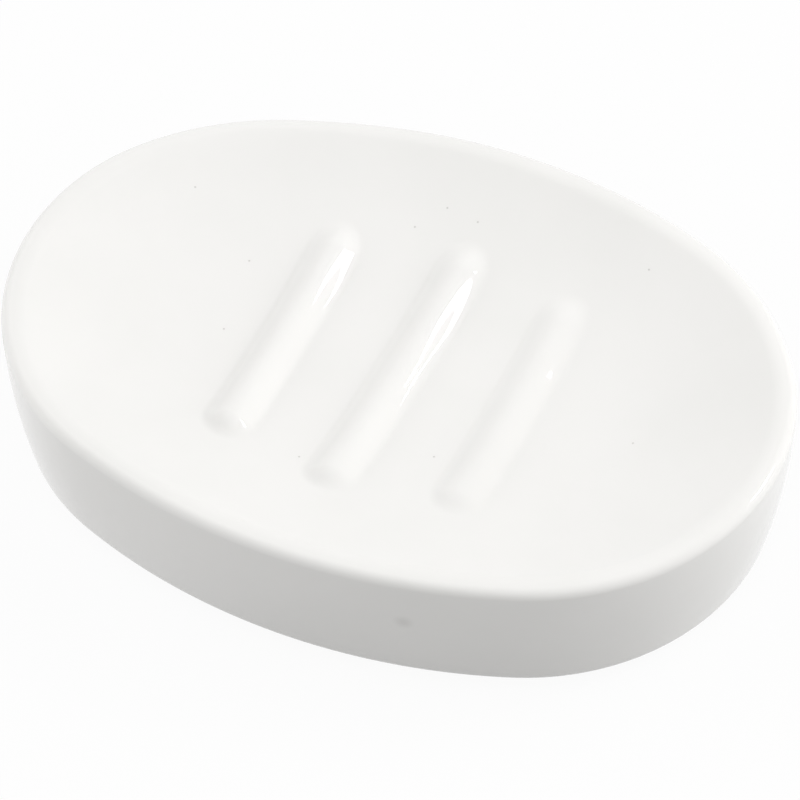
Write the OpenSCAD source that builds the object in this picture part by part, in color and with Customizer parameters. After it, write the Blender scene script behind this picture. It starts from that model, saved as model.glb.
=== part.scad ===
// Oval ceramic soap dish with three ribs in its basin, standing on four soft pads.
// Millimetres, +X along the dish, +Y across it, +Z up.
// The origin is under the middle of the dish, on the plane that it stands on.

/* [Dish] */
// Length over the rim
dish_length = 130; // [122:1:150]
// Width over the rim
dish_width = 94; // [88:1:100]
// How much wider the dish is than the circles of its round ends
side_swell = 8; // [7:0.5:12]
// Height of the ceramic from its foot to the top of its rim
dish_height = 24.3; // [22:0.1:30]
// Rounding radius of the rim
rim_radius = 2.5; // [1.8:0.1:4]
// Radius of the side wall's outward bulge, in section
bulge_radius = 110; // [80:1:250]
// Rounding radius of the foot's outer edge
base_radius = 2.4; // [1:0.1:4]

/* [Basin] */
// Depth of the basin from the top of the rim to its middle
basin_depth = 8.5; // [8:0.5:12]
// Radius of the round ends of the floor's level part
level_radius = 4; // [2:0.5:8]

/* [Ribs] */
// Distance between the centre lines of two ribs
rib_spacing = 20; // [14:0.5:24]
// Overall length of the middle rib, whose ends sink into the basin
middle_rib_length = 57; // [40:0.5:60]
// Overall length of each outer rib, whose ends sink into the basin
outer_rib_length = 49.5; // [30:0.5:52]
// Width of a rib where it leaves the floor
rib_width = 7; // [5:0.5:9]
// Height of a rib's crest over the middle of the floor
rib_height = 2; // [1.5:0.25:3.5]
// Radius of the shallow curve that a rib's crest follows along its length
crest_radius = 200; // [150:5:600]
// How far the middle rib lies to one side of the dish's middle
rib_shift = 0.4; // [0:0.1:3]

/* [Foot] */
// Width of the foot ring, from the side wall to the recess under the base
foot_width = 12.5; // [11:0.5:16]
// Thickness of the floor between the middle of the basin and the recess
floor_thickness = 7; // [5:0.5:9]
// Rounding radius of the recess where its wall meets its ceiling
recess_radius = 3; // [1.5:0.25:4]
// Rounding radius of the foot's inner edge
foot_edge_radius = 1.2; // [0.5:0.1:1.6]

/* [Pads] */
// Diameter of a non-slip pad
pad_diameter = 8; // [6:0.25:8.5]
// Thickness of a non-slip pad
pad_thickness = 1; // [0.75:0.25:2]
// Rounding radius of a pad's lower edge
pad_edge_radius = 0.3; // [0.1:0.05:0.5]
// Bearing of a pad from the long axis, about the centre of its end arc, in degrees
pad_bearing = 45; // [20:1:60]

/* [Hidden] */
// Largest distance between a drawn curve and its true arc
arc_tolerance = 0.02;
// Points nearer than this are one point
same_point = 0.001;
// Share of the level radius at which the swept section starts
section_share = 0.5;
// Share of the level radius that the level floor's middle reaches, to overlap the section
middle_share = 0.75;
$fa = 2;
$fs = 0.5;

// The plan is an oval of four arcs: one at each end and one along each side.
// Two neighbours meet on the line through their centres, whose direction is the seam's.
half_length = dish_length / 2;
half_width = dish_width / 2;
end_radius = (dish_width - side_swell) / 2;
end_centre_x = half_length - end_radius;
side_centre_y = (pow(end_centre_x, 2) - pow(side_swell / 2, 2)) / side_swell;
side_radius = half_width + side_centre_y;
core_radius = side_radius - end_radius;
seam = [end_centre_x, side_centre_y] / core_radius;

// The section's arcs, in distance from the end arc's centre and height over the foot.
rim_centre = [end_radius - rim_radius, dish_height - rim_radius];
bulge_centre = [end_radius - bulge_radius, rim_centre.y];
base_centre = [
    bulge_centre.x + sqrt(pow(bulge_radius - base_radius, 2) - pow(rim_centre.y - base_radius, 2)),
    base_radius
];
floor_height = dish_height - basin_depth;
recess_height = floor_height - floor_thickness;
section_start = section_share * level_radius;
recess_x = base_centre.x + base_radius - foot_width;
recess_centre = [recess_x - recess_radius, recess_height - recess_radius];
foot_edge_centre = [recess_x + foot_edge_radius, foot_edge_radius];

// The basin is one arc, which touches the level floor and the rim's rounding.
basin_run = rim_centre.x - level_radius;
basin_rise = rim_centre.y - floor_height;
basin_radius =
    (pow(basin_run, 2) + pow(basin_rise, 2) - pow(rim_radius, 2)) / (2 * (basin_rise + rim_radius));
basin_centre = [level_radius, floor_height + basin_radius];

// A rib's section is a circle through the two sides of its foot and its crest.
rib_radius = (pow(rib_width / 2, 2) + pow(rib_height, 2)) / (2 * rib_height);
rib_curve_radius = crest_radius + rib_radius;
rib_curve_height = floor_height + rib_height - rib_radius + rib_curve_radius;

// The pads stand in the middle of the foot ring's flat land.
pad_distance = (foot_edge_centre.x + base_centre.x) / 2;
PAD_SIDES = [[1, 1], [-1, 1], [-1, -1], [1, -1]];

function pad_name(i) = str("non_slip_pad_", i);

// Direction from one point to another, in degrees.
function direction(from, to) = atan2(to.y - from.y, to.x - from.x);

// Points along an arc, from one angle to another, as few as the tolerance allows.
function arc(centre, radius, from, to) =
    let (
        step = 2 * acos(1 - arc_tolerance / radius),
        count = max(1, ceil(abs(to - from) / step))
    )
    [for (i = [0 : count]) let (a = from + (to - from) * i / count) centre + radius * [cos(a), sin(a)]];

// The same points with each repeated one left out.
function distinct(points) =
    [for (i = [0 : len(points) - 1]) if (i == 0 || norm(points[i] - points[i - 1]) > same_point) points[i]];

// The ceramic's section, from the recess round the foot, side, rim and basin to the level floor.
module section() {
    base_end = direction(bulge_centre, base_centre);
    basin_end = direction(basin_centre, rim_centre);
    polygon(distinct(concat(
        [[section_start, floor_height], [section_start, recess_height]],
        arc(recess_centre, recess_radius, 90, 0),
        arc(foot_edge_centre, foot_edge_radius, 180, 270),
        arc(base_centre, base_radius, -90, base_end),
        arc(bulge_centre, bulge_radius, base_end, 0),
        arc(rim_centre, rim_radius, 0, basin_end + 180),
        arc(basin_centre, basin_radius, basin_end, -90)
    )));
}

// A tall wedge with its edge at a point and its sides along two directions.
module wedge(tip, side_a, side_b) {
    reach = 2 * dish_length;
    linear_extrude(reach, center = true) polygon([tip, tip + reach * side_a, tip + reach * side_b]);
}

// Carries a section round the oval's four arcs.
module round_the_oval() {
    for (turn = [0, 180]) rotate(turn) {
        intersection() {
            translate([end_centre_x, 0, 0]) rotate_extrude() children();
            wedge([end_centre_x, 0], [seam.x, -seam.y], seam);
        }
        intersection() {
            translate([0, -side_centre_y, 0])
                rotate_extrude()
                    translate([core_radius, 0]) children();
            wedge([0, -side_centre_y], seam, [-seam.x, seam.y]);
        }
    }
}

// The middle of the level floor: a smaller oval of the same kind, cut where its arcs meet.
module level_middle() {
    radius = middle_share * level_radius;
    cut_x = end_centre_x + radius * seam.x;
    translate([0, 0, recess_height])
        linear_extrude(floor_thickness) {
            intersection() {
                square([2 * cut_x, dish_width], center = true);
                intersection_for (side = [-1, 1])
                    translate([0, side * side_centre_y]) circle(core_radius + radius);
            }
            for (side = [-1, 1])
                intersection() {
                    translate([side * (cut_x + radius), 0]) square(2 * radius, center = true);
                    translate([side * end_centre_x, 0]) circle(radius);
                }
        }
}

// One rib: a round bar along a shallow curve, with round ends.
module rib(length) {
    swing = asin((length / 2 - rib_radius) / rib_curve_radius);
    translate([0, 0, rib_curve_height])
        rotate([0, 90, 0]) {
            rotate(-swing)
                rotate_extrude(angle = 2 * swing)
                    translate([rib_curve_radius, 0]) circle(rib_radius);
            for (side = [-1, 1])
                rotate(side * swing)
                    translate([rib_curve_radius, 0, 0]) rotate([90, 0, 0]) sphere(rib_radius);
        }
}

module dish_body() {
    color([0.93, 0.93, 0.92])
        translate([0, 0, pad_thickness]) {
            union() {
                round_the_oval() section();
                level_middle();
            }
            translate([rib_shift, 0, 0]) {
                rib(middle_rib_length);
                for (side = [-1, 1])
                    translate([side * rib_spacing, 0, 0]) rib(outer_rib_length);
            }
        }
}

// One pad, stuck to the foot ring in one quarter of the oval.
module non_slip_pad(i) {
    sides = PAD_SIDES[i - 1];
    place = pad_distance * [cos(pad_bearing), sin(pad_bearing)] + [end_centre_x, 0];
    edge_centre = [pad_diameter / 2 - pad_edge_radius, pad_edge_radius];
    color([0.80, 0.82, 0.83])
        translate([sides.x * place.x, sides.y * place.y, 0])
            rotate_extrude()
                polygon(concat(
                    [[0, pad_thickness], [0, 0]],
                    arc(edge_centre, pad_edge_radius, -90, 0),
                    [[pad_diameter / 2, pad_thickness]]
                ));
}

dish_body();
for (i = [1 : len(PAD_SIDES)])
    non_slip_pad(i);
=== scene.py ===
"""Looks of an oval glazed ceramic soap dish with three ribs, standing on four soft pads.

Lengths are in metres and places are in the part's own frame: +X along the dish, +Y across
it and along its ribs, +Z up, with the origin under the middle of the dish on the plane
that it stands on.
"""

import logging
import math
from dataclasses import dataclass
from enum import Enum
from typing import Any, Mapping, Sequence

import bpy
import numpy as np
from mathutils import Matrix, Vector


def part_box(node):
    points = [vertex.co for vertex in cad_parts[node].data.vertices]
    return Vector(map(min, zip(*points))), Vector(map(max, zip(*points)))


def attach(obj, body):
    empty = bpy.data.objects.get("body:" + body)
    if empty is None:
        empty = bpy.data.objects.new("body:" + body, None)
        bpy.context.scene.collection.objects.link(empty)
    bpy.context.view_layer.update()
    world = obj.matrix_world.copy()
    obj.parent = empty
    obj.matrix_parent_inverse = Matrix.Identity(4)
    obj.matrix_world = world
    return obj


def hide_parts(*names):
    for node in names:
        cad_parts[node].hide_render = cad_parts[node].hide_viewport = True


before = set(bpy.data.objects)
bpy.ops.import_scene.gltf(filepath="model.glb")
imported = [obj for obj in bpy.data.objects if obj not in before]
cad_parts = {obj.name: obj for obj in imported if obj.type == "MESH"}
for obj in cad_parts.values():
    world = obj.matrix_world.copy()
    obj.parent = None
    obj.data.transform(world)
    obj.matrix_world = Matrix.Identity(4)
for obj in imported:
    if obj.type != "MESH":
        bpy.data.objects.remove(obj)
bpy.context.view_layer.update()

MM = 0.001
log = logging.getLogger("soap_dish")


class Slot(Enum):
    """The record's material slots."""

    CERAMIC = "ceramic"
    PADS = "pads"


# ---------------------------------------------------------------------------
# Shader maths
# ---------------------------------------------------------------------------


class Signal:
    """A value socket that takes part in arithmetic, with one Math node an operation."""

    def __init__(self, bench: "NodeBench", socket: bpy.types.NodeSocket) -> None:
        """Wrap a socket of the bench's tree."""
        self.bench = bench
        self.socket = socket

    def _math(self, operation: str, *terms: "Signal | float") -> "Signal":
        """Add a Math node.

        Args:
            operation: The node's operation.
            terms: What its inputs take, in order.

        Returns:
            The node's output.
        """
        sockets = dict(enumerate(terms))
        node = self.bench.node("ShaderNodeMath", {"operation": operation}, sockets)
        return Signal(self.bench, node.outputs[0])

    def __add__(self, other: "Signal | float") -> "Signal":
        """This value plus another."""
        return self._math("ADD", self, other)

    def __radd__(self, other: float) -> "Signal":
        """A number plus this value."""
        return self._math("ADD", other, self)

    def __sub__(self, other: "Signal | float") -> "Signal":
        """This value less another."""
        return self._math("SUBTRACT", self, other)

    def __rsub__(self, other: float) -> "Signal":
        """A number less this value."""
        return self._math("SUBTRACT", other, self)

    def __mul__(self, other: "Signal | float") -> "Signal":
        """This value times another."""
        return self._math("MULTIPLY", self, other)

    def __rmul__(self, other: float) -> "Signal":
        """A number times this value."""
        return self._math("MULTIPLY", other, self)

    def larger(self, other: "Signal | float") -> "Signal":
        """The larger of this value and another."""
        return self._math("MAXIMUM", self, other)


class NodeBench:
    """One node tree, with a call for each sort of node that the finishes use."""

    def __init__(self, tree: bpy.types.NodeTree) -> None:
        """Take a tree and clear it."""
        self.tree = tree
        self.tree.nodes.clear()

    def node(
        self, kind: str, settings: Mapping[str, Any], sockets: Mapping[Any, Any]
    ) -> bpy.types.Node:
        """Add a node.

        Args:
            kind: The node's type.
            settings: Its properties, set before its sockets.
            sockets: A value or a link for each input that is named or numbered.

        Returns:
            The new node.
        """
        node = self.tree.nodes.new(kind)
        for name, value in settings.items():
            setattr(node, name, value)
        for key, value in sockets.items():
            self.feed(node.inputs[key], value)
        return node

    def feed(self, target: bpy.types.NodeSocket, value: Any) -> None:
        """Give an input its value, or a link where the value is a socket.

        Args:
            target: The input.
            value: A Signal, a socket, a number or a tuple.
        """
        if isinstance(value, Signal):
            value = value.socket
        if isinstance(value, bpy.types.NodeSocket):
            self.tree.links.new(value, target)
        else:
            target.default_value = value

    def place(self) -> bpy.types.NodeSocket:
        """The shaded point in the part's frame."""
        return self.node("ShaderNodeTexCoord", {}, {}).outputs["Object"]

    def height(self, place: bpy.types.NodeSocket) -> Signal:
        """The height of a point over the plane that the dish stands on."""
        node = self.node("ShaderNodeSeparateXYZ", {}, {0: place})
        return Signal(self, node.outputs["Z"])

    def noise(
        self, place: bpy.types.NodeSocket, grain: float, detail: float = 2.0, rough: float = 0.5
    ) -> Signal:
        """Soft noise between 0 and 1.

        Args:
            place: Where it is read.
            grain: Size of its largest features.
            detail: How many finer layers it has.
            rough: How strong the finer layers are.

        Returns:
            The noise.
        """
        sockets = {"Vector": place, "Scale": 1 / grain, "Detail": detail, "Roughness": rough}
        return Signal(self, self.node("ShaderNodeTexNoise", {}, sockets).outputs[0])

    def ramp(
        self, value: Signal, start: "Signal | float", end: "Signal | float"
    ) -> Signal:
        """A smooth step.

        Args:
            value: What it follows.
            start: Where it is 0.
            end: Where it is 1.

        Returns:
            The step.
        """
        settings = {"interpolation_type": "SMOOTHSTEP", "clamp": True}
        sockets = {"Value": value, "From Min": start, "From Max": end}
        return Signal(self, self.node("ShaderNodeMapRange", settings, sockets).outputs[0])

    def nearness(
        self, place: bpy.types.NodeSocket, spot: Sequence[float], reach: float
    ) -> Signal:
        """A mask that is 1 at a spot and fades to 0 at a distance.

        Args:
            place: Where it is read.
            spot: The middle of the mask.
            reach: Distance at which it has faded.

        Returns:
            The mask.
        """
        settings = {"operation": "DISTANCE"}
        node = self.node("ShaderNodeVectorMath", settings, {0: place, 1: tuple(spot)})
        return 1.0 - self.ramp(Signal(self, node.outputs["Value"]), 0.0, reach)

    def tint(self, factor: Signal, first: Any, second: Any) -> bpy.types.NodeSocket:
        """Mix two colours.

        Args:
            factor: 0 for the first colour and 1 for the second.
            first: A colour or a colour socket.
            second: A colour or a colour socket.

        Returns:
            The mixed colour.
        """
        colours = [(*c, 1.0) if isinstance(c, tuple) else c for c in (first, second)]
        sockets = {0: factor, 6: colours[0], 7: colours[1]}
        return self.node("ShaderNodeMix", {"data_type": "RGBA"}, sockets).outputs[2]

    def bump(
        self, relief: Signal, depth: float, under: "bpy.types.NodeSocket | None" = None
    ) -> bpy.types.NodeSocket:
        """Tilt the surface by a relief.

        Args:
            relief: Its height, from 0 to 1.
            depth: The height that 1 stands for.
            under: The normal of a coarser relief that it lies on.

        Returns:
            The new normal.
        """
        sockets = {"Strength": 1.0, "Distance": depth, "Height": relief}
        if under is not None:
            sockets["Normal"] = under
        return self.node("ShaderNodeBump", {}, sockets).outputs[0]

    def seen(self) -> Signal:
        """1 for rays from the camera, reflections and clear bodies, and 0 for rays of light."""
        rays = self.node("ShaderNodeLightPath", {}, {})
        seen = Signal(self, rays.outputs["Is Camera Ray"])
        for kind in ("Is Glossy Ray", "Is Transmission Ray"):
            seen = seen.larger(Signal(self, rays.outputs[kind]))
        return seen

    def surface(self, shader: bpy.types.Node) -> None:
        """End the tree in a shader."""
        self.node("ShaderNodeOutputMaterial", {}, {"Surface": shader.outputs[0]})


# ---------------------------------------------------------------------------
# Finishes
# ---------------------------------------------------------------------------


@dataclass(frozen=True)
class WhiteGlaze:
    """Gloss white glaze over white clay, left bare where the dish stood in the kiln."""

    glaze: tuple[float, float, float] = (0.872, 0.864, 0.846)
    pooled_glaze: tuple[float, float, float] = (0.852, 0.846, 0.826)
    bare_clay: tuple[float, float, float] = (0.80, 0.775, 0.73)
    clay_grain_tone: float = 0.93
    dirt: tuple[float, float, float] = (0.42, 0.40, 0.38)
    pinhole_reach: float = 0.28 * MM
    pinhole_strength: float = 0.6
    pinhole_depth: float = 0.05 * MM
    pinholes: tuple[tuple[float, float, float], ...] = (
        (40.6 * MM, 0.5 * MM, 18.1 * MM),
        (30.5 * MM, 32.5 * MM, 22.4 * MM),
        (0.2 * MM, 32.8 * MM, 20.7 * MM),
        (-5.6 * MM, 33.5 * MM, 21.0 * MM),
        (-9.3 * MM, 28.6 * MM, 19.6 * MM),
        (-29.4 * MM, -2.4 * MM, 16.9 * MM),
        (-6.1 * MM, -23.2 * MM, 18.3 * MM),
        (-31.9 * MM, 12.3 * MM, 17.7 * MM),
        (-45.7 * MM, 20.6 * MM, 21.6 * MM),
        (12.8 * MM, -13.8 * MM, 17.1 * MM),
    )
    smudge: tuple[float, float, float] = (21.3 * MM, -44.6 * MM, 15.7 * MM)
    smudge_reach: float = 2.0 * MM
    smudge_strength: float = 0.22
    bare_height: float = 1.32 * MM
    glaze_line_wander: float = 0.2 * MM
    glaze_line_width: float = 0.12 * MM
    glaze_roughness: float = 0.045
    handled_roughness: float = 0.03
    clay_roughness: float = 0.62
    peel_depth: float = 0.0022 * MM
    clay_depth: float = 0.05 * MM

    def material(self) -> bpy.types.Material:
        """Make the material."""
        material = bpy.data.materials.new("white_glaze")
        material.use_nodes = True
        bench = NodeBench(material.node_tree)
        place = bench.place()
        height = bench.height(place)

        wander = bench.noise(place, 3.0 * MM)
        glaze_line = self.bare_height + self.glaze_line_wander * (wander - 0.5)
        bare = 1.0 - bench.ramp(height, glaze_line, glaze_line + self.glaze_line_width)

        pooling = bench.ramp(bench.noise(place, 26 * MM, 3.0), 0.35, 0.75)
        colour = bench.tint(pooling, self.glaze, self.pooled_glaze)
        pits = bench.nearness(place, self.pinholes[0], self.pinhole_reach)
        for spot in self.pinholes[1:]:
            pits = pits.larger(bench.nearness(place, spot, self.pinhole_reach))
        colour = bench.tint(pits * self.pinhole_strength, colour, self.dirt)
        smudged = bench.nearness(place, self.smudge, self.smudge_reach)
        colour = bench.tint(smudged * self.smudge_strength, colour, self.dirt)
        clay_grain = bench.noise(place, 0.35 * MM, 3.0, 0.6)
        grain_colour = tuple(self.clay_grain_tone * c for c in self.bare_clay)
        clay = bench.tint(clay_grain, self.bare_clay, grain_colour)
        colour = bench.tint(bare, colour, clay)

        handled = bench.ramp(bench.noise(place, 14 * MM, 4.0, 0.6), 0.45, 0.8)
        polish = self.glaze_roughness + self.handled_roughness * handled
        roughness = polish + self.clay_roughness * bare

        peel = bench.noise(place, 1.6 * MM, 1.0)
        normal = bench.bump(peel, self.peel_depth)
        normal = bench.bump(1.0 - pits, self.pinhole_depth, normal)
        normal = bench.bump(clay_grain * bare, self.clay_depth, normal)

        shader = bench.node(
            "ShaderNodeBsdfPrincipled",
            {},
            {
                "Base Color": colour,
                "Roughness": roughness,
                "IOR": 1.5,
                "Normal": normal,
            },
        )
        bench.surface(shader)
        return material


@dataclass(frozen=True)
class SoftSilicone:
    """Cloudy silicone with a satin skin and a little dust in its hollows."""

    colour: tuple[float, float, float] = (0.62, 0.64, 0.65)
    dust: tuple[float, float, float] = (0.52, 0.50, 0.47)
    clean_roughness: float = 0.38
    dust_roughness: float = 0.3
    skin_depth: float = 0.004 * MM

    def material(self) -> bpy.types.Material:
        """Make the material."""
        material = bpy.data.materials.new("soft_silicone")
        material.use_nodes = True
        bench = NodeBench(material.node_tree)
        place = bench.place()
        height = bench.height(place)
        specks = bench.ramp(bench.noise(place, 0.5 * MM, 4.0, 0.65), 0.5, 0.72)
        low = 1.0 - bench.ramp(height, 0.05 * MM, 0.3 * MM)
        dusty = specks * (0.25 + 0.5 * low)
        colour = bench.tint(dusty, self.colour, self.dust)
        roughness = self.clean_roughness + self.dust_roughness * dusty
        skin = bench.noise(place, 0.12 * MM, 2.0)
        shader = bench.node(
            "ShaderNodeBsdfPrincipled",
            {},
            {
                "Base Color": colour,
                "Roughness": roughness,
                "IOR": 1.41,
                "Subsurface Weight": 0.35,
                "Subsurface Radius": (1.0, 1.0, 0.95),
                "Subsurface Scale": 0.8 * MM,
                "Normal": bench.bump(skin, self.skin_depth),
            },
        )
        bench.surface(shader)
        return material


@dataclass(frozen=True)
class PaleFloor:
    """Pale paper that the camera and reflections see as white, with the dish's shadow kept."""

    paper: tuple[float, float, float] = (0.36, 0.36, 0.36)
    grain_tone: float = 0.985
    whiteness: float = 0.86
    glow: float = 1.09

    def material(self) -> bpy.types.Material:
        """Make the material."""
        material = bpy.data.materials.new("pale_floor")
        material.use_nodes = True
        bench = NodeBench(material.node_tree)
        seen = bench.seen()
        grain = bench.noise(bench.place(), 2 * MM)
        tone = tuple(self.grain_tone * c for c in self.paper)
        paper = bench.node(
            "ShaderNodeBsdfDiffuse", {}, {"Color": bench.tint(grain, self.paper, tone)}
        )
        white = bench.node("ShaderNodeEmission", {}, {"Strength": self.glow})
        mixed = bench.node(
            "ShaderNodeMixShader",
            {},
            {0: seen * self.whiteness, 1: paper.outputs[0], 2: white.outputs[0]},
        )
        bench.surface(mixed)
        return material


# ---------------------------------------------------------------------------
# Mesh helpers
# ---------------------------------------------------------------------------


def mesh_piece(
    name: str,
    points: np.ndarray,
    faces: Sequence[Sequence[int]],
    material: bpy.types.Material,
) -> bpy.types.Object:
    """Make a smooth-shaded mesh object.

    Args:
        name: The piece's name.
        points: Its vertices.
        faces: The corners of each face.
        material: Its finish.

    Returns:
        The new object, linked to the scene.
    """
    mesh = bpy.data.meshes.new(name)
    mesh.from_pydata(points.tolist(), [], [list(face) for face in faces])
    mesh.validate()
    mesh.polygons.foreach_set("use_smooth", [True] * len(mesh.polygons))
    mesh.update()
    mesh.materials.append(material)
    piece = bpy.data.objects.new(name, mesh)
    bpy.context.scene.collection.objects.link(piece)
    return piece


def arc(centre: Sequence[float], radius: float, start: float, end: float, steps: int) -> np.ndarray:
    """Points along an arc, without its first.

    Args:
        centre: The arc's centre.
        radius: The arc's radius.
        start: Angle of its start, in degrees.
        end: Angle of its end, in degrees.
        steps: How many points.

    Returns:
        The points, one a row.
    """
    angles = np.radians(np.linspace(start, end, steps + 1)[1:])
    return np.array(centre) + radius * np.stack([np.cos(angles), np.sin(angles)], axis=1)


def straight(start: Sequence[float], end: Sequence[float], steps: int) -> np.ndarray:
    """Points along a straight line, without its first."""
    share = np.linspace(0, 1, steps + 1)[1:, None]
    return (1 - share) * np.array(start) + share * np.array(end)


def ring_strips(first: int, rings: int, count: int) -> list[tuple[int, int, int, int]]:
    """Quads between rings of vertices that follow each other.

    Args:
        first: Number of the first ring's first vertex.
        rings: How many rings.
        count: Vertices in a ring.

    Returns:
        The quads.
    """
    quads = []
    for ring in range(rings - 1):
        inner = first + ring * count
        outer = inner + count
        for i in range(count):
            j = (i + 1) % count
            quads.append((inner + i, outer + i, outer + j, inner + j))
    return quads


def grid_quads(number: np.ndarray) -> list[tuple[int, int, int, int]]:
    """Quads over a grid of numbered vertices, row by row."""
    rows, columns = number.shape
    return [
        (number[r, c], number[r, c + 1], number[r + 1, c + 1], number[r + 1, c])
        for r in range(rows - 1)
        for c in range(columns - 1)
    ]


def graded_lines(
    start: float,
    end: float,
    zones: Sequence[Sequence[float]],
    fine: float,
    coarse: float,
) -> np.ndarray:
    """Places of grid lines that lie closer together in some zones.

    Args:
        start: The first line.
        end: The last line.
        zones: Start and end of each zone of fine spacing.
        fine: Spacing in the zones.
        coarse: Spacing well outside them.

    Returns:
        The places, in rising order.
    """
    walk = np.linspace(start, end, 6001)
    away = np.min([np.maximum(np.maximum(a - walk, walk - b), 0) for a, b in zones], axis=0)
    spacing = fine + (coarse - fine) * np.clip(away / (3 * coarse), 0, 1)
    passed = np.concatenate([[0], np.cumsum((walk[1] - walk[0]) / spacing[:-1])])
    lines = max(2, int(math.ceil(passed[-1])) + 1)
    return np.interp(np.linspace(0, passed[-1], lines), passed, walk)


# ---------------------------------------------------------------------------
# The ceramic dish
# ---------------------------------------------------------------------------


@dataclass(frozen=True)
class OvalPlan:
    """The oval of four arcs that every level of the dish follows in plan.

    A place is given by how far out it lies from the oval's core and by the bearing of the
    rim's outward normal there.
    """

    half_length: float = 65 * MM
    half_width: float = 47 * MM
    side_swell: float = 8 * MM

    @property
    def end_radius(self) -> float:
        """Radius of the rim's two end arcs."""
        return self.half_width - self.side_swell / 2

    @property
    def end_centre(self) -> float:
        """Distance of an end arc's centre from the middle."""
        return self.half_length - self.end_radius

    @property
    def side_centre(self) -> float:
        """Distance of a side arc's centre from the middle."""
        return (self.end_centre**2 - (self.side_swell / 2) ** 2) / self.side_swell

    @property
    def core_radius(self) -> float:
        """Radius of a side arc where the end arcs have shrunk to their centres."""
        return self.half_width + self.side_centre - self.end_radius

    @property
    def seam_bearing(self) -> float:
        """Bearing at which an end arc meets a side arc."""
        return math.atan2(self.side_centre, self.end_centre)

    def spots(self, out: "np.ndarray | float", bearing: np.ndarray) -> np.ndarray:
        """Places in plan.

        Args:
            out: Distance out from the core.
            bearing: Bearing of the normal.

        Returns:
            The x and y of each place, one a row.
        """
        cos, sin = np.cos(bearing), np.sin(bearing)
        on_side = np.abs(sin) > math.sin(self.seam_bearing)
        core_x = np.where(on_side, self.core_radius * cos, np.sign(cos) * self.end_centre)
        core_y = np.where(
            on_side, self.core_radius * sin - np.sign(sin) * self.side_centre, 0.0
        )
        return np.stack([core_x + out * cos, core_y + out * sin], axis=-1)

    def out_at(self, x: np.ndarray, y: np.ndarray) -> np.ndarray:
        """How far out from the core places in plan lie, and 0 inside the core.

        Args:
            x: Along the dish.
            y: Across the dish.

        Returns:
            The distances.
        """
        x, y = np.abs(x), np.abs(y)
        on_side = np.arctan2(y + self.side_centre, x) > self.seam_bearing
        from_side = np.hypot(x, y + self.side_centre) - self.core_radius
        from_end = np.hypot(np.maximum(x - self.end_centre, 0), y)
        return np.maximum(np.where(on_side, from_side, from_end), 0)

    def even_bearings(self, count: int) -> np.ndarray:
        """Bearings of places that are evenly spaced along the rim, from bearing 0."""
        seam = self.seam_bearing
        turns = np.array([0, seam, np.pi - seam, np.pi + seam, 2 * np.pi - seam, 2 * np.pi])
        radii = np.array([self.end_radius, self.half_width + self.side_centre] * 2)
        radii = np.append(radii, self.end_radius)
        lengths = np.concatenate([[0], np.cumsum(np.diff(turns) * radii)])
        return np.interp(np.arange(count) / count * lengths[-1], lengths, turns)

    def bearings_behind(self, places: np.ndarray, out: float) -> np.ndarray:
        """Bearings at which lines from the middle through places cross a ring.

        Args:
            places: The places, in order round the middle.
            out: The ring's distance out from the core.

        Returns:
            The bearings, rising.
        """
        turn = np.linspace(-2 * np.pi, 4 * np.pi, 36001)
        ring = self.spots(out, turn)
        seen = np.unwrap(np.arctan2(ring[:, 1], ring[:, 0]))
        seen -= 2 * np.pi * np.round((seen[0] - turn[0]) / (2 * np.pi))
        wanted = np.unwrap(np.arctan2(places[:, 1], places[:, 0]))
        return np.interp(wanted, seen, turn)


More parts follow.
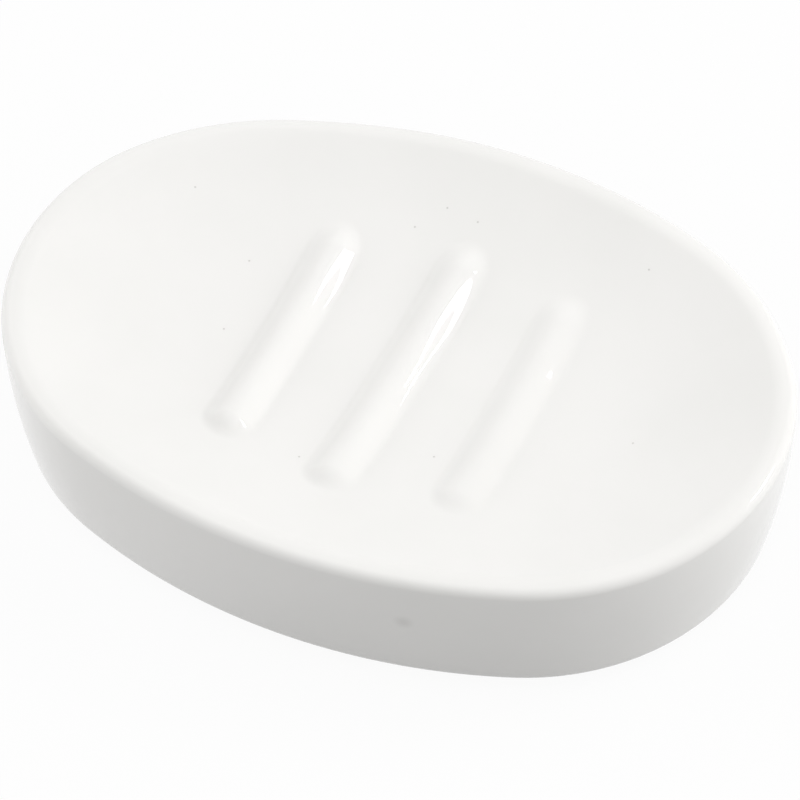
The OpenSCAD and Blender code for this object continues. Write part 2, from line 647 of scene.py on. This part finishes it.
@dataclass(frozen=True)
class DishSection:
    """Heights and roundings of the ceramic, read outwards from the oval's core."""

    foot_plane: float = 1.0 * MM
    rim_out: float = 43 * MM
    rim_height: float = 25.3 * MM
    floor_height: float = 16.8 * MM
    level_out: float = 4 * MM
    basin_radius: float = 80.1 * MM
    inner_roll: float = 5.0 * MM
    outer_roll: float = 1.6 * MM
    bulge_radius: float = 110 * MM
    bulge_height: float = 22.8 * MM
    base_roll: float = 2.4 * MM
    foot_inside: float = 28.737 * MM
    foot_edge: float = 1.2 * MM
    recess_roll: float = 3.0 * MM
    recess_height: float = 9.8 * MM
    blending: float = 3.0 * MM

    def basin_heights(self, out: np.ndarray) -> np.ndarray:
        """Height of the basin, with its arc run softly into the level middle.

        Args:
            out: Distance out from the core.

        Returns:
            The heights, up to where the rim's roll starts.
        """
        walk = np.arange(-20, 60, 0.05) * MM
        run = np.maximum(np.abs(walk) - self.level_out, 0)
        heights = self.floor_height + self.basin_radius - np.sqrt(self.basin_radius**2 - run**2)
        spread = np.arange(-180, 181) * 0.05 * MM
        weights = np.exp(-0.5 * (spread / self.blending) ** 2)
        soft = np.convolve(heights, weights / weights.sum(), mode="valid")
        soft -= self.blending**2 / (2 * self.basin_radius)
        return np.interp(out, walk[180:-180], soft)

    def roll_start(self) -> tuple[float, float, float]:
        """Where the basin's wall runs into the rim's inner roll.

        Returns:
            The roll's centre, distance out, then the distance out at which it starts and
            the wall's slope there in degrees.
        """
        out = np.linspace(36, 41, 2001) * MM
        heights = self.basin_heights(out)
        slope = np.arctan(np.gradient(heights, out))
        excess = heights - self.inner_roll * np.cos(slope) - self.rim_height + self.inner_roll
        start = float(np.interp(0, excess, out))
        start_slope = float(np.interp(start, out, slope))
        return start + self.inner_roll * math.sin(start_slope), start, math.degrees(start_slope)

    def outside(self, first_out: float) -> np.ndarray:
        """The section from the basin's wall over the rim, down the side and under the foot.

        Args:
            first_out: Distance out of the ring that it starts after.

        Returns:
            Distance out and height of each ring, up to the recess's ceiling.
        """
        roll_out, wall_end, slope = self.roll_start()
        wall = np.linspace(first_out, wall_end, 10)[1:]
        inner = (roll_out, self.rim_height - self.inner_roll)
        outer = (self.rim_out - self.outer_roll, self.rim_height - self.outer_roll)
        bulge = (self.rim_out - self.bulge_radius, self.bulge_height)
        base_z = self.foot_plane + self.base_roll
        reach = self.bulge_radius - self.base_roll
        base = (bulge[0] + math.sqrt(reach**2 - (bulge[1] - base_z) ** 2), base_z)
        base_angle = math.degrees(math.atan2(base[1] - bulge[1], base[0] - bulge[0]))
        edge = (self.foot_inside + self.foot_edge, self.foot_plane + self.foot_edge)
        recess = (self.foot_inside - self.recess_roll, self.recess_height - self.recess_roll)
        return np.concatenate([
            np.stack([wall, self.basin_heights(wall)], axis=1),
            arc(inner, self.inner_roll, 90 + slope, 90, 14),
            straight((inner[0], self.rim_height), (outer[0], self.rim_height), 2),
            arc(outer, self.outer_roll, 90, 0, 14),
            straight((self.rim_out, outer[1]), (self.rim_out, bulge[1]), 1),
            arc(bulge, self.bulge_radius, 0, base_angle, 16),
            arc(base, self.base_roll, base_angle, -90, 12),
            straight((base[0], self.foot_plane), (edge[0], self.foot_plane), 6),
            arc(edge, self.foot_edge, -90, -180, 7),
            straight((self.foot_inside, edge[1]), (self.foot_inside, recess[1]), 3),
            arc(recess, self.recess_roll, 0, 90, 9),
            straight((recess[0], self.recess_height), (10 * MM, self.recess_height), 6),
        ])


@dataclass(frozen=True)
class SoapRib:
    """One raised rib with a soft rounded section, a shallow curved crest and round ends.

    An end is the length over which it rounds off, and how steeply it comes down to the floor.
    """

    line: float
    half_length: float
    crest_height: float
    lean: float
    half_width: float = 4.8 * MM
    crest_radius: float = 200 * MM
    near_end: tuple[float, float] = (3.4 * MM, 1.0)
    far_end: tuple[float, float] = (4.6 * MM, 0.75)

    def raise_clay(self, x: np.ndarray, y: np.ndarray, floor: np.ndarray) -> np.ndarray:
        """Height of the clay where the rib stands on the basin.

        Args:
            x: Along the dish.
            y: Across the dish.
            floor: Height of the basin without the rib.

        Returns:
            The heights.
        """
        end_run = np.where(y < 0, self.near_end[0], self.far_end[0])
        steepness = np.where(y < 0, self.near_end[1], self.far_end[1])
        past_end = np.maximum(np.abs(y) - self.half_length + end_run, 0)
        away = np.hypot(x - self.line - self.lean * y, steepness * past_end)
        crest = self.crest_height + self.crest_radius - np.sqrt(self.crest_radius**2 - y**2)
        share = np.maximum(1 - (away / self.half_width) ** 2, 0) ** 2
        return floor + np.maximum(crest - floor, 0) * share


@dataclass(frozen=True)
class CeramicDish:
    """The one-piece ceramic: basin, ribs, rim, side, foot ring and recess.

    Each sag is a bearing and a spread in degrees, and how far the rim's edge moves there.
    """

    plan: OvalPlan = OvalPlan()
    section: DishSection = DishSection()
    ribs: tuple[SoapRib, ...] = (
        SoapRib(-19.7 * MM, 23.75 * MM, 19.15 * MM, -0.013),
        SoapRib(0.55 * MM, 27.5 * MM, 18.85 * MM, 0.022),
        SoapRib(20.25 * MM, 23.75 * MM, 18.45 * MM, 0.009),
    )
    rib_field: tuple[float, float, float] = (-25.5 * MM, 27.5 * MM, 30.5 * MM)
    field_ring: float = 33.5 * MM
    waviness: float = 0.025 * MM
    far_sag: float = 0.1 * MM
    sags: tuple[tuple[float, float, float], ...] = (
        (127.0, 25.0, 0.95 * MM),
        (40.0, 22.0, 0.4 * MM),
    )
    sag_reach: float = 3.0 * MM
    flank_zone: tuple[float, float] = (1.0 * MM, 5.5 * MM)
    tip_zone: tuple[float, float] = (-3.5 * MM, 2.0 * MM)
    across_spacing: tuple[float, float] = (0.25 * MM, 0.8 * MM)
    along_spacing: tuple[float, float] = (0.3 * MM, 1.0 * MM)
    apron_rings: int = 14
    wall_rings: int = 9
    ceiling_shares: tuple[float, ...] = (0.7, 0.45, 0.25, 0.1)

    def basin(self, places: np.ndarray) -> np.ndarray:
        """Height of the basin with its ribs.

        Args:
            places: The x and y of each place, one a row.

        Returns:
            The heights.
        """
        x, y = places[..., 0], places[..., 1]
        surface = self.section.basin_heights(self.plan.out_at(x, y))
        for rib in self.ribs:
            surface = rib.raise_clay(x, y, surface)
        return surface

    def rib_grid(self) -> tuple[np.ndarray, np.ndarray]:
        """Grid lines over the field of the ribs, closest on the ribs' flanks and ends.

        Returns:
            The places of the lines across and of the lines along.
        """
        left, right, half = self.rib_field
        flanks, tips = [], []
        for rib in self.ribs:
            for side in (-1, 1):
                flanks.append(sorted(rib.line + side * out for out in self.flank_zone))
                tips.append(sorted(side * (rib.half_length + out) for out in self.tip_zone))
        across = graded_lines(left, right, flanks, *self.across_spacing)
        along = graded_lines(-half, half, tips, *self.along_spacing)
        return across, along

    def sag_rim(self, points: np.ndarray) -> np.ndarray:
        """Move the rim's outer edge in and down along its far side, to fit the picture.

        The solid model keeps the even oval, so far_sag 0 and no sags give its outline.

        Args:
            points: The vertices.

        Returns:
            The vertices, moved where they're close to that edge.
        """
        x, y, z = points.T
        corner = 0.3 * self.section.outer_roll
        beside = self.plan.out_at(x, y) - (self.section.rim_out - corner)
        above = z - (self.section.rim_height - corner)
        close = np.exp(-(beside**2 + above**2) / self.sag_reach**2)
        bearing = np.degrees(np.arctan2(y / self.plan.half_width, x / self.plan.half_length))
        far = np.clip(2 * np.sin(np.radians(bearing)), 0, 1)
        depth = self.far_sag
        for middle, spread, most in self.sags:
            depth = depth + most * np.exp(-(((bearing - middle) / spread) ** 2))
        move = close * far * depth / math.sqrt(2)
        outward = np.hypot(x, y) + 1e-9
        return points - np.stack([move * x / outward, move * y / outward, move], axis=1)

    def settle(self, points: np.ndarray) -> np.ndarray:
        """Bend the surface by the slight unevenness of slip-cast clay.

        Args:
            points: The vertices.

        Returns:
            The vertices, moved except on the foot and under it.
        """
        x, y, z = points.T
        waves = (
            np.sin(x / (7.1 * MM) + 1.3) * np.sin(y / (6.3 * MM) + 0.4)
            + 0.7 * np.sin((x + y) / (5.2 * MM) + 2.1)
            + 0.5 * np.sin((x - 1.7 * y) / (9.4 * MM) + z / (8 * MM))
        )
        above = np.clip((z - 3.5 * MM) / (4 * MM), 0, 1)
        under = (z < 9 * MM) & (self.plan.out_at(x, y) < 33 * MM)
        lift = np.where(under, 0, self.waviness * above * waves / 2.2)
        outward = np.hypot(x, y) + 1e-9
        upright = np.clip((self.section.rim_height - z) / (3 * MM), 0, 1)
        upright = np.where(self.plan.out_at(x, y) > 40.5 * MM, upright, 0)
        moved = points.copy()
        moved[:, 0] += lift * upright * x / outward
        moved[:, 1] += lift * upright * y / outward
        inside = self.plan.out_at(x, y) < 38 * MM
        moved[:, 2] += np.where(inside & (z > 12 * MM), lift, 0)
        return moved

    def build(self, finish: bpy.types.Material) -> bpy.types.Object:
        """Make the ceramic's mesh.

        Args:
            finish: The glaze.

        Returns:
            The piece.
        """
        across, along = self.rib_grid()
        columns, rows = len(across), len(along)
        grid_x, grid_y = np.meshgrid(across, along)
        field = np.stack([grid_x, grid_y], axis=-1).reshape(-1, 2)
        number = np.arange(columns * rows).reshape(rows, columns)
        faces = grid_quads(number)
        edge = np.concatenate([
            number[:-1, -1],
            number[-1, :0:-1],
            number[:0:-1, 0],
            number[0, :-1],
        ])
        count = len(edge)

        behind = self.plan.bearings_behind(field[edge], self.field_ring)
        even = self.plan.even_bearings(count)
        even = even + np.mean(behind - even)
        ring = self.plan.spots(self.field_ring, behind)
        steps = np.linspace(0, 1, self.apron_rings + 1)[1:, None, None]
        apron = ((1 - steps) * field[edge] + steps * ring).reshape(-1, 2)
        flat = np.concatenate([field, apron])
        upper = np.column_stack([flat, self.basin(flat)])

        outside = self.section.outside(self.field_ring)
        rings = []
        for i, (out, height) in enumerate(outside):
            share = min(1.0, (i + 1) / self.wall_rings)
            spots = self.plan.spots(out, (1 - share) * behind + share * even)
            rings.append(np.column_stack([spots, np.full(count, height)]))
        last = rings[-1]
        middle = np.array([0.0, 0.0, self.section.recess_height])
        for share in self.ceiling_shares:
            rings.append(middle + share * (last - middle))
        points = np.concatenate([upper, *rings, middle[None]])

        first = len(field)
        faces += [
            (edge[i], first + i, first + (i + 1) % count, edge[(i + 1) % count])
            for i in range(count)
        ]
        total = (len(points) - 1 - first) // count
        faces += ring_strips(first, total, count)
        innermost = first + (total - 1) * count
        pole = len(points) - 1
        faces += [(innermost + i, pole, innermost + (i + 1) % count) for i in range(count)]
        piece = mesh_piece("ceramic_dish", self.settle(self.sag_rim(points)), faces, finish)
        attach(piece, "root")
        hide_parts("dish_body")
        log.info("%s: %d faces, %d round the rim", piece.name, len(faces), count)
        return piece


# ---------------------------------------------------------------------------
# The pads
# ---------------------------------------------------------------------------


@dataclass(frozen=True)
class NonSlipPads:
    """Four moulded silicone discs, each stuck to the foot ring by a thin film."""

    radius: float = 4.0 * MM
    thickness: float = 1.0 * MM
    film: float = 0.1 * MM
    edge_roll: float = 0.3 * MM
    groove_depth: float = 0.14 * MM
    groove_outs: tuple[float, ...] = (1.0 * MM, 1.9 * MM, 2.8 * MM)
    groove_width: float = 0.16 * MM
    segments: int = 72

    def section(self) -> np.ndarray:
        """The pad's section, from the axis under it, round its edge, to the axis on top.

        Returns:
            Radius and height of each ring between the two poles.
        """
        groove = self.groove_width
        points = [(0.45 * MM, 0.0)]
        for out in self.groove_outs:
            points += [
                (out - 1.6 * groove, 0.0),
                (out - groove, 0.02 * MM),
                (out - 0.5 * groove, self.groove_depth),
                (out + 0.5 * groove, self.groove_depth),
                (out + groove, 0.02 * MM),
                (out + 1.6 * groove, 0.0),
            ]
        flank = self.radius - 0.06 * MM
        lower = (self.radius - self.edge_roll, self.edge_roll)
        points.append((lower[0] - 0.1 * MM, 0.0))
        points.append((lower[0], 0.0))
        points += [tuple(p) for p in arc(lower, self.edge_roll, -90, 0, 7)]
        top = self.thickness - self.film
        points += [
            (self.radius, top - 0.25 * MM),
            (self.radius - 0.02 * MM, top - 0.08 * MM),
            (flank - 0.02 * MM, top - 0.01 * MM),
            (flank - 0.06 * MM, top),
            (flank - 0.07 * MM, top + 0.01 * MM),
            (flank - 0.07 * MM, self.thickness - 0.01 * MM),
            (flank - 0.09 * MM, self.thickness),
            (2.0 * MM, self.thickness),
        ]
        return np.array(points)

    def build(self, finish: bpy.types.Material) -> list[bpy.types.Object]:
        """Make the pads where the model has them.

        Args:
            finish: The silicone.

        Returns:
            The pieces.
        """
        section = self.section()
        turn = 2 * np.pi * np.arange(self.segments) / self.segments
        pieces = []
        for node in sorted(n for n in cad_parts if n.startswith("non_slip_pad_")):
            low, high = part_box(node)
            centre = (low + high) / 2
            rings = [
                np.column_stack([
                    centre.x + out * np.cos(turn),
                    centre.y + out * np.sin(turn),
                    np.full(self.segments, height),
                ])
                for out, height in section
            ]
            poles = [(centre.x, centre.y, 0.0), (centre.x, centre.y, self.thickness)]
            points = np.concatenate([*rings, poles])
            faces = ring_strips(0, len(rings), self.segments)
            under, top = len(points) - 2, len(points) - 1
            last = (len(rings) - 1) * self.segments
            for i in range(self.segments):
                j = (i + 1) % self.segments
                faces.append((under, i, j))
                faces.append((last + i, top, last + j))
            faces = [tuple(reversed(face)) for face in faces]
            piece = mesh_piece(f"silicone_{node}", points, faces, finish)
            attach(piece, "root")
            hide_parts(node)
            log.info("%s: %d faces", piece.name, len(faces))
            pieces.append(piece)
        return pieces


# ---------------------------------------------------------------------------
# Studio
# ---------------------------------------------------------------------------


@dataclass(frozen=True)
class SoftBox:
    """A rectangular soft light that is turned to the dish."""

    name: str
    bearing: float
    elevation: float
    distance: float
    width: float
    height: float
    power: float
    mirrored: bool = False
    aim_height: float = 15 * MM

    def build(self) -> bpy.types.Object:
        """Hang the lamp."""
        light = bpy.data.lights.new(self.name, "AREA")
        light.shape = "RECTANGLE"
        light.size = self.width
        light.size_y = self.height
        light.energy = self.power
        lamp = bpy.data.objects.new(self.name, light)
        turn, rise = math.radians(self.bearing), math.radians(self.elevation)
        away = Vector((
            math.cos(rise) * math.cos(turn),
            math.cos(rise) * math.sin(turn),
            math.sin(rise),
        ))
        lamp.location = self.distance * away + Vector((0, 0, self.aim_height))
        lamp.rotation_euler = away.to_track_quat("Z", "Y").to_euler()
        lamp.visible_glossy = self.mirrored
        bpy.context.scene.collection.objects.link(lamp)
        return lamp


@dataclass(frozen=True)
class ProductCamera:
    """The camera, as fitted to the dish's outline and ribs."""

    bearing: float = 24.81
    elevation: float = 49.267
    roll: float = 0.836
    pan: float = 0.059
    tilt: float = -0.615
    distance: float = 576.907 * MM
    focal_share: float = 3528.443 / 800
    sensor: float = 36.0
    aim_height: float = 1 * MM

    def build(self) -> bpy.types.Object:
        """Set up the camera and make it the scene's.

        Returns:
            The camera.
        """
        turn, rise = math.radians(self.bearing), math.radians(self.elevation)
        back = Vector((
            math.sin(turn) * math.cos(rise), -math.cos(turn) * math.cos(rise), math.sin(rise)
        ))
        right = Vector((math.cos(turn), math.sin(turn), 0))
        level = Matrix([right, back.cross(right), back])
        turned = (
            Matrix.Rotation(math.radians(self.tilt), 3, "X")
            @ Matrix.Rotation(math.radians(self.pan), 3, "Y")
            @ Matrix.Rotation(math.radians(self.roll), 3, "Z")
            @ level
        )
        data = bpy.data.cameras.new("product_camera")
        data.sensor_width = self.sensor
        data.lens = self.focal_share * self.sensor
        data.clip_start = 0.02
        data.clip_end = 20
        camera = bpy.data.objects.new("product_camera", data)
        place = self.distance * back + Vector((0, 0, self.aim_height))
        camera.matrix_world = Matrix.Translation(place) @ turned.transposed().to_4x4()
        bpy.context.scene.collection.objects.link(camera)
        bpy.context.scene.camera = camera
        return camera


@dataclass(frozen=True)
class Studio:
    """Pale floor, white surroundings and plain soft light."""

    boxes: tuple[SoftBox, ...] = (
        SoftBox("key_box", 39.7, 37.8, 1.0, 0.16, 0.135, 1.2, mirrored=True),
        SoftBox("back_box", 40.0, 38.0, 1.1, 1.0, 0.8, 5.1),
        SoftBox("left_box", 182.0, 50.0, 1.1, 1.0, 0.8, 2.4),
        SoftBox("low_right_box", 2.0, 15.0, 1.1, 1.0, 0.8, 4.0),
        SoftBox("low_front_box", 227.0, 15.0, 1.1, 1.0, 0.8, 3.3),
        SoftBox("low_left_box", 182.0, 15.0, 1.1, 1.0, 0.8, 3.0),
    )
    floor_reach: float = 3.0
    floor_lines: int = 13
    surround: float = 0.46

    def surroundings(self) -> None:
        """Light the world, and show it as white to the camera and in reflections."""
        world = bpy.data.worlds.new("white_surroundings")
        world.use_nodes = True
        bench = NodeBench(world.node_tree)
        seen = bench.seen()
        light = bench.node("ShaderNodeBackground", {}, {"Strength": self.surround})
        white = bench.node("ShaderNodeBackground", {}, {"Strength": 1.0})
        for background in (light, white):
            bench.feed(background.inputs["Color"], (1.0, 1.0, 1.0, 1.0))
        mixed = bench.node(
            "ShaderNodeMixShader", {}, {0: seen, 1: light.outputs[0], 2: white.outputs[0]}
        )
        bench.node("ShaderNodeOutputWorld", {}, {"Surface": mixed.outputs[0]})
        bpy.context.scene.world = world

    def build(self, paper: bpy.types.Material) -> None:
        """Lay the floor and set the lights.

        Args:
            paper: The floor's finish.
        """
        lines = np.linspace(-self.floor_reach, self.floor_reach, self.floor_lines)
        grid_x, grid_y = np.meshgrid(lines, lines)
        points = np.column_stack([grid_x.ravel(), grid_y.ravel(), np.zeros(grid_x.size)])
        number = np.arange(grid_x.size).reshape(grid_x.shape)
        floor = mesh_piece("paper_floor", points, grid_quads(number), paper)
        self.surroundings()
        for box in self.boxes:
            box.build()
        bpy.context.scene.view_settings.view_transform = "Standard"
        log.info("studio: floor, surroundings and %d soft boxes", len(self.boxes))


def main() -> None:
    """Build the camera, the dish, its pads and the studio."""
    logging.basicConfig(level=logging.INFO, format="%(name)s: %(message)s")
    ProductCamera().build()
    CeramicDish().build(WhiteGlaze().material())
    NonSlipPads().build(SoftSilicone().material())
    Studio().build(PaleFloor().material())


if __name__ == "__main__":
    main()
